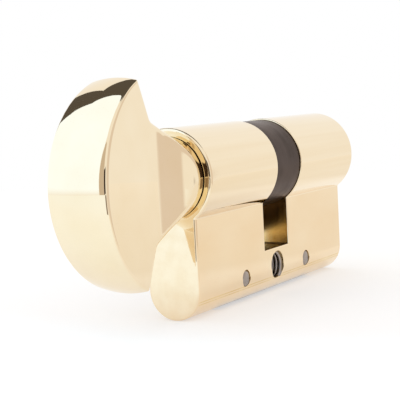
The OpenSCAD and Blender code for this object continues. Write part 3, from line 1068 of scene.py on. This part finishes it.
def knob_distance(p):
    """Signed distance, near enough, from the polished surface of the thumb turn."""
    x, y, z = p[..., 0], p[..., 1], p[..., 2]
    r = np.sqrt(y * y + z * z)
    dome = np.sqrt((x - dome_centre) ** 2 + r * r) - dome_r

    def under(x0, r0, x1, r1):
        """Distance from a cone through two circles (x, radius)."""
        length = math.hypot(x1 - x0, r1 - r0)
        return ((r - r0) * (x1 - x0) - (x - x0) * (r1 - r0)) / length

    back_cone = under(rim_x, rim_r, neck_top_x, neck_top_r)
    neck = under(neck_top_x, neck_top_r, collar_x, collar_r)
    collar = r - collar_r
    body = -blend_out(-back_cone, -neck, cone_blend)
    body = -blend_out(-body, -collar, cone_blend)
    body = blend_out(dome, body, rim_edge)
    body = blend_out(body, x - collar_end_x, collar_edge)
    side = (np.abs(y) - side_half(x)) * math.cos(flare)
    size = blade_edge + (neck_edge - blade_edge) * np.clip((x - neck_edge_x) / neck_edge_run, 0, 1)
    return blend_out(body, side, size)


def settle(p, steps=6, small=1e-4, least_slope=0.2):
    """Moves points onto the polished surface, down the slope of the distance."""
    for _ in range(steps):
        f = knob_distance(p)
        grad = np.stack([
            (knob_distance(p + shift) - knob_distance(p - shift)) / (2 * small) for shift in np.eye(3) * small
        ], axis=-1)
        p = p - (f / np.maximum((grad ** 2).sum(-1), least_slope))[..., None] * grad
    return p


def thumb_turn_mesh():
    """One quarter of the knob as patches whose lines follow its edges, then mirrored twice.

    Shares s run up from the knob's middle to its rim, v from the middle plane to a side, and
    u along the flare. Their lines lie close by the edges, where the reflections bend most.
    """
    near_rim = np.array([
        0, .003, .006, .009, .013, .019, .027, .037, .05, .066, .085, .11, .15, .2, .27, .35
    ])
    s = np.concatenate([np.linspace(0, 0.65, 26)[:-1], 1 - near_rim[::-1]])
    near_side = np.array([0, .008, .016, .025, .036, .05, .068, .09, .115, .15, .2, .28, .4])
    v = np.concatenate([np.linspace(0, 0.6, 16)[:-1], 1 - near_side[::-1]])
    u = np.array([
        0, .005, .01, .017, .027, .04, .06, .09, .13, .19, .27, .36, .46, .56, .66, .75, .83, .9, .95, 1.0
    ])
    last_x = crease_x + crease_r * math.tan(flare / 2) + 0.05

    def top_radius(x):
        """Radius of the turned form at x, from the rim to the collar."""
        cone = rim_r + (x - rim_x) * (neck_top_r - rim_r) / (neck_top_x - rim_x)
        neck = neck_top_r + (x - neck_top_x) * (collar_r - neck_top_r) / (collar_x - neck_top_x)
        return np.where(x < neck_top_x, cone, np.where(x < collar_x, neck, collar_r))

    def dome_x(y, z):
        return dome_centre - np.sqrt(dome_r ** 2 - y * y - z * z)

    # The line where the side cuts the dome, found in rounds from a first guess of 5 mm.
    edge_y = np.full_like(s, 5.0)
    for _ in range(40):
        edge_z = s * np.sqrt(rim_r ** 2 - edge_y ** 2)
        edge_y = side_half(dome_x(edge_y, edge_z))
    edge_z = s * np.sqrt(rim_r ** 2 - edge_y ** 2)
    edge_x = dome_x(edge_y, edge_z)
    lean = math.asin(edge_y[-1] / rim_r)

    quads = []
    points = []

    def patch(grid):
        """Settles a patch of points [rows, columns, 3] and adds it with its quads."""
        grid = settle(grid)
        base = sum(len(earlier) for earlier in points)
        rows, columns = grid.shape[:2]
        points.append(grid.reshape(-1, 3))
        for i in range(rows - 1):
            for j in range(columns - 1):
                a = base + i * columns + j
                quads.append((a, a + 1, a + columns + 1, a + columns))

    # The dome.
    y = edge_y[:, None] * np.sin(v * lean)[None, :] / math.sin(lean)
    z = s[:, None] * np.sqrt(rim_r ** 2 - y ** 2)
    patch(np.stack([dome_x(y, z), y, z], -1))

    # The turned back, from the rim over the neck to the end of the collar.
    flare_x = rim_x + (last_x - rim_x) * u
    before_hollow_end = np.array([2.1, 1.8, 1.5, 1.25, 1.0, .8, .62, .46, .33, .22, .13, .06, 0])
    neck_x = np.concatenate([
        np.linspace(last_x, hollow_end_x - 2.5, 22)[1:], hollow_end_x - before_hollow_end
    ])
    before_collar_end = np.array([.6, .35, .25, .16, .08, .03, 0])
    ring_x = np.concatenate([
        flare_x, neck_x, [hollow_end_x + .15, hollow_end_x + .4], collar_end_x - before_collar_end
    ])
    ring_r = top_radius(ring_x)
    half = np.minimum(side_half(ring_x), ring_r)
    half[ring_x >= hollow_end_x] = ring_r[ring_x >= hollow_end_x]
    angle = np.arcsin(half / ring_r)
    y = ring_r[:, None] * np.sin(v[None, :] * angle[:, None])
    z = ring_r[:, None] * np.cos(v[None, :] * angle[:, None])
    patch(np.stack([np.broadcast_to(ring_x[:, None], y.shape), y, z], -1))

    # The flared side, from the dome to the end of the crease.
    top_z = np.sqrt(np.maximum(top_radius(flare_x) ** 2 - side_half(flare_x) ** 2, 0))
    lift = s ** 2
    uu, ss = u[None, :], s[:, None]
    fx = (1 - uu) * edge_x[:, None] + uu * last_x
    fz = (1 - uu) * edge_z[:, None] + uu * ss * top_z[-1]
    fx = fx + lift[:, None] * (flare_x - ((1 - u) * edge_x[-1] + u * last_x))[None, :]
    fz = fz + lift[:, None] * (top_z - ((1 - u) * edge_z[-1] + u * top_z[-1]))[None, :]
    patch(np.stack([fx, side_half(fx), fz], -1))

    # The flat side and its hollow.
    flat_x = np.concatenate([[last_x], neck_x])
    flat_top = np.sqrt(np.maximum(top_radius(flat_x) ** 2 - side_half(flat_x) ** 2, 0))
    flat_top[-1] = 0
    gx = np.broadcast_to(flat_x[None, :], (len(s), len(flat_x)))
    patch(np.stack([gx, side_half(gx), s[:, None] * flat_top[None, :]], -1))

    quarter = np.concatenate(points)
    flat_to_plane = 2e-4
    everything, faces = [], []
    for k, (sy, sz) in enumerate(((1, 1), (-1, 1), (1, -1), (-1, -1))):
        everything.append(quarter * np.array([1, sy, sz]))
        faces += [tuple(index + k * len(quarter) for index in quad) for quad in quads]
    everything = np.concatenate(everything)
    everything[:, 1:][np.abs(everything[:, 1:]) < flat_to_plane] = 0
    piece = mesh_piece("thumb_turn_polished", [tuple(p * mm) for p in everything], faces)
    bm = bmesh.new()
    bm.from_mesh(piece.data)
    bmesh.ops.remove_doubles(bm, verts=bm.verts, dist=6 * same_point)
    bmesh.ops.dissolve_degenerate(bm, dist=2 * same_point, edges=bm.edges)
    collar_end = [e for e in bm.edges if e.is_boundary]
    bmesh.ops.holes_fill(bm, edges=collar_end, sides=0)
    bmesh.ops.recalc_face_normals(bm, faces=bm.faces)
    bm.to_mesh(piece.data)
    bm.free()
    return piece


thumb_turn = thumb_turn_mesh()
combine(thumb_turn, [
    rod("nose_bore", "X", nose_bore_r * mm, nose_bore_x * mm, knob_high.x + past, sides=96)
])
for face in thumb_turn.data.polygons:
    face.use_smooth = True
thumb_turn.data.set_sharp_from_angle(angle=math.radians(50))
knob_brass = metal(
    "polished_brass_knob", (0.905, 0.765, 0.545), (0.885, 0.735, 0.505),
    lines=(700, 700, 50), rough=(0.012, 0.045), line_depth=0.10, wave_depth=9,
)
# Dark brown for the collar's hidden end: painted shade of the narrow gap between the collar and the body's
# end face.
collar_end_painted_shade = metal(
    "collar_end_brass_painted_shade", (0.13, 0.075, 0.03), (0.08, 0.045, 0.02),
    lines=(60, 2600, 0), rough=(0.25, 0.40), line_depth=2, wave_depth=4, turned=True,
)
# A deeper gold for the collar than for the rest of the knob: painted reflection of the brass body's end face
# beside it.
collar_brass_painted_reflection = metal(
    "deep_brass_collar_painted_reflection", (0.875, 0.685, 0.375), (0.845, 0.640, 0.320),
    lines=(60, 2600, 0), rough=(0.012, 0.05), line_depth=0.1, wave_depth=6, turned=True,
)
for finish in (knob_brass, collar_end_painted_shade, collar_brass_painted_reflection):
    thumb_turn.data.materials.append(finish)
finish_slack = 0.05
for face in thumb_turn.data.polygons:
    # The collar's end face takes the painted shade.
    if face.normal.x > 0.9 and face.center.x > (collar_end_x - finish_slack) * mm:
        face.material_index = 1
    # The collar takes the deeper gold, a painted reflection.
    elif face.center.x > (hollow_end_x + finish_slack) * mm:
        face.material_index = 2
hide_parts("thumb_turn")
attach(thumb_turn, "turn")
